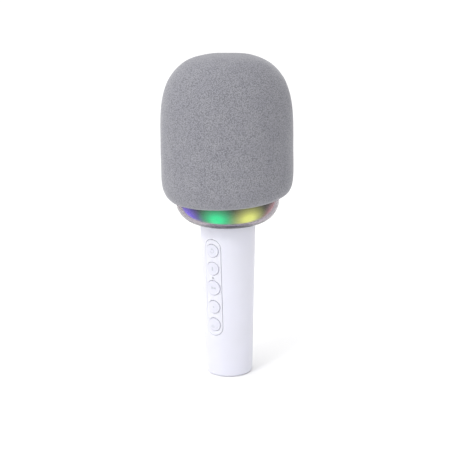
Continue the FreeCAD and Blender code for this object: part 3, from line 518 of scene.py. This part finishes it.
def grille_side_mesh(wire):
    """Upright wall of wire in diamonds: each square of a drum is crossed corner to corner."""
    height = GRILLE_BAND_LOW - GRILLE_LOW
    around = round(math.tau * CORE_RADIUS / WIRE_CELL)
    rows = round(height / WIRE_CELL)
    deselect()
    bpy.ops.mesh.primitive_cylinder_add(vertices=around, radius=(CORE_RADIUS - WIRE_INSET) * MM,
                                        depth=height * MM, end_fill_type="NOTHING",
                                        location=(0, 0, (GRILLE_LOW + height / 2) * MM))
    piece = bpy.context.object
    piece.name = "grille_side_mesh"
    settle(piece)
    bpy.ops.object.mode_set(mode="EDIT")
    for row in range(1, rows):
        bpy.ops.mesh.select_all(action="SELECT")
        level = (GRILLE_LOW + row * height / rows) * MM
        bpy.ops.mesh.bisect(plane_co=(0, 0, level), plane_no=(0, 0, 1))
    bpy.ops.object.mode_set(mode="OBJECT")
    squares = len(piece.data.vertices)
    bpy.ops.object.mode_set(mode="EDIT")
    bpy.ops.mesh.select_all(action="SELECT")
    bpy.ops.mesh.poke()
    bpy.ops.mesh.select_all(action="DESELECT")
    bpy.ops.object.mode_set(mode="OBJECT")
    for edge in piece.data.edges:
        edge.select = max(edge.vertices) < squares
    bpy.ops.object.mode_set(mode="EDIT")
    bpy.ops.mesh.select_mode(type="EDGE")
    bpy.ops.mesh.dissolve_edges(use_verts=False)
    bpy.ops.mesh.select_mode(type="VERT")
    bpy.ops.object.mode_set(mode="OBJECT")
    woven(piece, "grille_side", wire)


def grille_crown_mesh(wire):
    """Dome pressed from flat woven mesh: each point keeps its distance from the middle along the dome."""
    outline = superellipse(CORE_RADIUS - WIRE_INSET, GRILLE_TOP - WIRE_INSET - FOAM_WAIST, FOAM_CROWN_POWER,
                           FOAM_WAIST, 0, 90, 400)
    tucked = 0.6
    outline = [point for point in outline if point[1] > GRILLE_BAND_HIGH - tucked][::-1]
    step = 0.25
    profile = even(outline, step)
    reach = step * (len(profile) - 1)
    count = 2 * math.ceil(reach / WIRE_CELL)
    deselect()
    bpy.ops.mesh.primitive_grid_add(x_subdivisions=count, y_subdivisions=count, size=count * WIRE_CELL * MM,
                                    rotation=(0, 0, math.pi / 4))
    piece = bpy.context.object
    piece.name = "grille_crown_mesh"
    settle(piece)
    bpy.ops.object.mode_set(mode="EDIT")
    bpy.ops.mesh.select_mode(type="VERT")
    bpy.ops.mesh.select_all(action="DESELECT")
    bpy.ops.object.mode_set(mode="OBJECT")
    for vertex in piece.data.vertices:
        vertex.select = math.hypot(vertex.co.x, vertex.co.y) > (reach + WIRE_CELL * 0.6) * MM
    bpy.ops.object.mode_set(mode="EDIT")
    bpy.ops.mesh.delete(type="VERT")
    bpy.ops.object.mode_set(mode="OBJECT")
    for vertex in piece.data.vertices:
        flat = math.hypot(vertex.co.x, vertex.co.y) / MM
        turn = math.atan2(vertex.co.y, vertex.co.x)
        at = min(flat / step, len(profile) - 1)
        low = min(int(at), len(profile) - 2)
        (r0, z0), (r1, z1) = profile[low], profile[low + 1]
        r, z = r0 + (r1 - r0) * (at - low), z0 + (z1 - z0) * (at - low)
        vertex.co = (r * math.cos(turn) * MM, r * math.sin(turn) * MM, z * MM)
    woven(piece, "grille_crown", wire)


# ---- loudspeaker --------------------------------------------------------------------------
def rolled_surround():
    """Half-roll of rubber between the basket's rim and the cone."""
    inner, flat_end, roll_from, roll_to, outer = 18.0, 18.7, 18.9, 22.9, 23.7
    cone_top, basket_top, foot = 143.3, 144.4, 143.15
    thickness, roll, flattened, climb, steps = 0.4, 2.0, 0.1, 0.85, 12
    middle = (roll_from + roll_to) / 2
    out, under = [], []
    for i in range(steps + 1):
        a = math.radians(180 - 180 * i / steps)
        base = foot + climb * i / steps
        out.append((middle + roll * math.cos(a), base + (roll - flattened) * math.sin(a)))
        under.append((middle + (roll - thickness) * math.cos(a),
                      base + (roll - flattened - thickness) * math.sin(a)))
    outline = [(inner, cone_top), (flat_end, cone_top)] + out
    outline += [(outer, basket_top), (outer, basket_top - thickness)] + under[::-1]
    outline += [(flat_end, cone_top - thickness), (inner, cone_top - thickness), (inner, cone_top)]
    piece = spun("rolled_surround", outline, steps=96)
    bpy.ops.object.shade_smooth_by_angle(angle=math.radians(40))
    wear(piece, rubber("moulded butyl rubber", "1c1c1e", "2c2c2e"))
    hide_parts("speaker_surround")
    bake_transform(piece)


def corrugated_spider():
    """Corrugated cloth that hangs a little from its ledge to the coil."""
    inner, lip, rim = FORMER_RADIUS, 12.9, 15.6
    high, low, wave, pitch, thickness, steps = 134.62, 133.5, 0.2, 1.5, 0.3, 60
    top = []
    for i in range(steps + 1):
        r = inner + (lip - inner) * i / steps
        # the waves die out over 1 mm at the lip and 0.5 mm at the former
        swing = min(1.0, (lip - r) / 1.0, (r - inner) / 0.5)
        ripple = wave * swing * math.sin(math.tau * r / pitch)
        top.append((r, low + (high - low) * (r - inner) / (lip - inner) + ripple))
    outline = top + [(rim, high), (rim, high + thickness), (lip, high + thickness)]
    outline += [(r, z + thickness) for r, z in top[-2::-1]] + top[:1]
    piece = spun("corrugated_spider", outline, steps=96)
    bpy.ops.object.shade_smooth_by_angle(angle=math.radians(50))
    wear(piece, resined_cotton())
    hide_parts("speaker_spider")
    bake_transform(piece)


# ---- printed marks on the buttons ---------------------------------------------------------
def printed_bar(x, z, width, height):
    deselect()
    bpy.ops.mesh.primitive_grid_add(x_subdivisions=6, y_subdivisions=4, size=MM,
                                    location=(x * MM, 0, z * MM), rotation=(math.pi / 2, 0, 0),
                                    scale=(width, height, 1))
    return bpy.context.object


def printed_arc(x, z, radius, width, low, high):
    """Part of a ring; angles in degrees, counted from +X towards +Z."""
    piece = start_at("arc", x + radius - width / 2, z)
    bpy.ops.mesh.extrude_region_move(TRANSFORM_OT_translate={"value": (width * MM, 0, 0)})
    bpy.ops.mesh.select_all(action="SELECT")
    centre = (x * MM, 0, z * MM)
    bpy.ops.transform.rotate(value=math.radians(low), orient_axis="Y", center_override=centre)
    bpy.ops.mesh.spin(steps=round((high - low) / 10), angle=-math.radians(high - low), center=centre,
                      axis=(0, 1, 0))
    bpy.ops.object.mode_set(mode="OBJECT")
    return piece


def printed_arrow(x, z, radius):
    """Triangle that points to +X."""
    deselect()
    bpy.ops.mesh.primitive_circle_add(vertices=3, radius=radius * MM, fill_type="TRIFAN",
                                      location=(x * MM, 0, z * MM), rotation=(math.pi / 2, math.pi / 2, 0))
    bpy.ops.object.mode_set(mode="EDIT")
    bpy.ops.mesh.subdivide(number_cuts=3)
    bpy.ops.object.mode_set(mode="OBJECT")
    return bpy.context.object


def strokes(key, z):
    """The flat strokes of one button's plain symbol, with its middle at height z."""
    if key == "power":
        return [printed_arc(0, z, 1.4, 0.28, 125, 415), printed_bar(0, z + 1.2, 0.28, 1.3)]
    if key == "volume_up":
        return [printed_bar(0, z, 2.8, 0.32), printed_bar(0, z + 0.79, 0.32, 1.26),
                printed_bar(0, z - 0.79, 0.32, 1.26)]
    if key == "play":
        return [printed_arrow(-0.7, z, 1.25), printed_bar(0.95, z, 0.34, 2.0), printed_bar(1.6, z, 0.34, 2.0)]
    if key == "volume_down":
        return [printed_bar(0, z, 2.8, 0.32)]
    return [printed_arc(-1.0, z, radius, 0.28, -45, 45) for radius in (0.7, 1.4, 2.1)]


def printed_marks():
    """Each button's symbol is a film of ink laid on the cap's curve."""
    ink = moulded("pad-printed grey ink", "c3c7cf", roughness=0.5, grain=0.2, depth=0.004, ior=1.5)
    sunk, film = 0.01, 0.05
    for key, z in BUTTON_HEIGHTS.items():
        parts = strokes(key, z)
        for part in parts:
            settle(part)
        for part in parts:
            part.select_set(True)
        bpy.ops.object.join()
        piece = bpy.context.object
        piece.name = key + "_mark"
        for vertex in piece.data.vertices:
            face = handle_radius(vertex.co.z / MM) + BUTTON_PROUD - sunk
            vertex.co.y = -math.sqrt(face ** 2 - (vertex.co.x / MM) ** 2) * MM
        finished(piece, "SOLIDIFY", thickness=film * MM, offset=0.0)
        closed(piece)
        wear(piece, ink)
        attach(piece, key + "_key")


# ---- materials of the CAD nodes -----------------------------------------------------------
def finishes():
    """One material for each slot of the record."""
    white = {"roughness": 0.4, "drift": "e0e0ea", "glow": 0.6}
    return {
        # white ABS straight from a satin tool: even and faintly cool, with a soft highlight
        "handle_shell": moulded("satin white ABS", "e2e2ed", **white),
        "keypad_panel": moulded("smooth white ABS", "e1e1eb", **white),
        "button_plastic": moulded("glossier white ABS", "dcdce8", roughness=0.36, drift="dadae5", glow=0.6),
        "cap_plastic": moulded("satin white ABS cap", "dadae3", **white),
        # acetal and nylon look waxy; glass-filled nylon is black and dull
        "plunger_plastic": moulded("black acetal", "232326", roughness=0.35),
        "switch_plastic": moulded("glass-filled black nylon", "2a2a2d", roughness=0.6, grain=0.25,
                                  depth=0.02),
        "socket_nylon": moulded("natural nylon", "e8e2d2", roughness=0.45, drift="ddd5c0"),
        "light_pipe": clear_polycarbonate(),
        # regrind ABS inside the case: plain greys with flow marks
        "frame_plastic": moulded("grey ABS", "9a9da1", roughness=0.5, drift="909398"),
        "hub_plastic": moulded("light grey ABS", "c4c6ca", roughness=0.48, drift="babcc1"),
        # zinc plate on a screw is bright, with a faint yellow stain in places
        "screw_steel": metal("zinc-plated screw steel", "b9bcc2", roughness=0.3, grain=0.8, drift="a6a294"),
        # moulded epoxy is a dull near-black; the LED bodies are a chalky white resin
        "chip_epoxy": moulded("black moulded epoxy", "1d1e20", roughness=0.62, grain=0.2, depth=0.015),
        "led_body": moulded("chalky white resin", "efece0", roughness=0.5, drift="e4dfc9"),
        # a drawn can, a rolled strip and a stamped shell each have fine lines along the way they were worked
        "capacitor_can": metal("drawn aluminium can", "c9cbce", roughness=0.25, stretch=(1, 0.1, 1)),
        "nickel_strip": metal("rolled nickel", "bcb7ab", roughness=0.32, stretch=(1, 0.1, 1)),
        "port_steel": metal("stamped stainless steel", "c2c4c6", roughness=0.28, stretch=(0.15, 1, 1)),
        # a thin gold flash over brass stays warm and bright
        "brass_pin": metal("gilt brass", "d8b45c", roughness=0.2),
        "battery_sleeve": cell_sleeve(),
        "milky_diffuser": lit_diffuser(),
        # the basket is pressed and zinc plated, the magnet is fired and left raw, with a gritty dull face
        "basket_steel": metal("pressed zinc-plated steel", "a9acb0", roughness=0.36, grain=1.2),
        "plated_steel": metal("turned zinc-plated steel", "b5b5ae", roughness=0.3, stretch=(1, 1, 4),
                              grain=0.9),
        "magnet_ferrite": moulded("sintered ferrite", "38383b", roughness=0.66, grain=0.5, depth=0.03,
                                  drift="2f2f32"),
        # paper under resin: brown, with its fibres faint and no nap
        "terminal_laminate": fibrous("phenolic paper laminate", "7a4a26", "94602f", fibre=0.4, sheen=0.0,
                                     depth=0.01),
        "former_aluminium": metal("rolled aluminium foil", "cfd1d4", roughness=0.34, stretch=(1, 1, 0.2)),
        "coil_wire": wound_copper(),
        # pulp pressed on a screen shows its fibres, and the dust cap's are finer
        "cone_paper": fibrous("pressed paper pulp", "242425", "4b4a4b"),
        "dust_cap_paper": fibrous("fine pressed paper", "1e1e20", "39393b", fibre=0.4),
        # turned brass under nickel is bright, with fine lines round it
        "grille_trim": metal("nickel-plated brass", "c3c3c1", roughness=0.2, stretch=(1, 1, 6), grain=0.8),
        # the boot is dull and dusty, the capsule's can has spinning lines, and its felt a nap
        "boot_rubber": rubber("moulded silicone rubber", "3a3a3d", "4a4a4d"),
        "capsule_aluminium": metal("spun aluminium", "bfc1c4", roughness=0.3, stretch=(1, 1, 5)),
        "capsule_felt": fibrous("black felt", "161617", "3c3c3e", fibre=0.5, sheen=0.6, depth=0.15),
        "lead_insulation": moulded("grey vinyl insulation", "8f9196", roughness=0.42),
    }


def dress_frame():
    """Every CAD node that still shows gets the finish of its slot."""
    by_slot = finishes()
    for subpart in frame["record"]["subparts"]:
        if subpart["material_slot"] in by_slot:
            wear(nodes[subpart["node"]], by_slot[subpart["material_slot"]])
    standing = circuit_board("green solder mask, upright board", True)
    lying = circuit_board("green solder mask, flat board", False)
    for name, board in (("main_board", standing), ("port_board", lying), ("led_board", lying)):
        wear(nodes[name], board)
    wear(nodes["speaker_leads"], paired_leads("red and black vinyl insulation", SPEAKER_LEADS_MIDDLE,
                                              "b3262a", "1d1d1f"))
    wear(nodes["led_leads"], paired_leads("white and blue vinyl insulation", LED_LEADS_MIDDLE,
                                          "dcdcd8", "2c55a8"))


# ---- camera, light and floor --------------------------------------------------------------
# the studio's sky: brighter above than all round, and darker on the camera's right
SKY_ALL_ROUND, SKY_ABOVE, SKY_ASIDE = 0.6, 0.75, 0.35
KEY_WATTS = 4.5
WHITE = (1, 1, 1, 1)


def camera():
    data = bpy.data.cameras.new("camera")
    data.sensor_width = CAMERA_SENSOR
    data.lens = CAMERA_LENS
    data.clip_end = 20
    made = bpy.data.objects.new("camera", data)
    bpy.context.scene.collection.objects.link(made)
    stand = CAMERA_RIGHT * CAMERA_SIDE + CAMERA_BACK * CAMERA_DISTANCE + Vector((0, 0, CAMERA_HEIGHT))
    made.location = stand * MM
    turn = Matrix.Rotation(CAMERA_AZIMUTH, 4, "Z") @ Matrix.Rotation(math.pi / 2 - CAMERA_PITCH, 4, "X")
    made.rotation_euler = (turn @ Matrix.Rotation(-CAMERA_ROLL, 4, "Z")).to_euler()
    bpy.context.scene.camera = made


def softbox(name, side, back, height, target_height, size, watts):
    """Round soft light; side and back are metres to the camera's right and towards the camera."""
    data = bpy.data.lights.new(name, "AREA")
    data.shape = "DISK"
    data.size, data.energy = size, watts
    made = bpy.data.objects.new(name, data)
    bpy.context.scene.collection.objects.link(made)
    made.location = CAMERA_RIGHT * side + CAMERA_BACK * back + Vector((0, 0, height))
    made.rotation_euler = (Vector((0, 0, target_height)) - made.location).to_track_quat("-Z", "Y").to_euler()


def studio():
    """White floor and backdrop, a soft sky and one round key light."""
    deselect()
    bpy.ops.mesh.primitive_circle_add(vertices=96, radius=6, fill_type="NGON")
    floor = bpy.context.object
    floor.name = "floor"
    made, tree, place = material("matt white studio floor")
    drift = add(tree, "TexNoise", {"Vector": place, "Scale": 1 / 400.0}).outputs["Fac"]
    tone = add(tree, "ValToRGB", {"Fac": drift}, stops=((0.3, "fdfdfd"), (0.7, "ffffff")))
    wear(floor, finish(made, tree, Base_Color=tone.outputs[0], Roughness=0.9))
    world = bpy.data.worlds.new("white studio")
    bpy.context.scene.world = world
    world.use_nodes = True
    sky = world.node_tree
    sky.nodes.clear()
    toward = add(sky, "TexCoord").outputs["Generated"]
    above = add(sky, "VectorMath", {0: toward, 1: (0, 0, SKY_ABOVE)}, operation="DOT_PRODUCT")
    aside = add(sky, "VectorMath", {0: toward, 1: CAMERA_RIGHT * SKY_ASIDE}, operation="DOT_PRODUCT")
    uneven = add(sky, "Math", {0: above.outputs["Value"], 1: aside.outputs["Value"]}, operation="SUBTRACT")
    level = add(sky, "Math", {0: uneven.outputs[0], 1: SKY_ALL_ROUND}, operation="ADD").outputs[0]
    light = add(sky, "Background", {"Color": WHITE, "Strength": level}).outputs[0]
    backdrop = add(sky, "Background", {"Color": WHITE, "Strength": 1.0}).outputs[0]
    # the light falls on the object from the sky, and the camera sees a plain white backdrop
    seen = add(sky, "LightPath").outputs["Is Camera Ray"]
    surround = add(sky, "MixShader", {"Fac": seen, 1: light, 2: backdrop}).outputs[0]
    add(sky, "OutputWorld", {"Surface": surround})
    bpy.context.scene.view_settings.view_transform = "Standard"
    softbox("key", side=-0.6, back=0.82, height=1.1, target_height=0.1, size=0.35, watts=KEY_WATTS)


foam_windscreen()
light_bowl()
# nickel plate keeps the wire bright, with small changes in its gloss
plated_wire = metal("woven nickel-plated steel wire", "b4b6ba", roughness=0.28, grain=0.6)
grille_side_mesh(plated_wire)
grille_crown_mesh(plated_wire)
rolled_surround()
corrugated_spider()
printed_marks()
dress_frame()
camera()
studio()
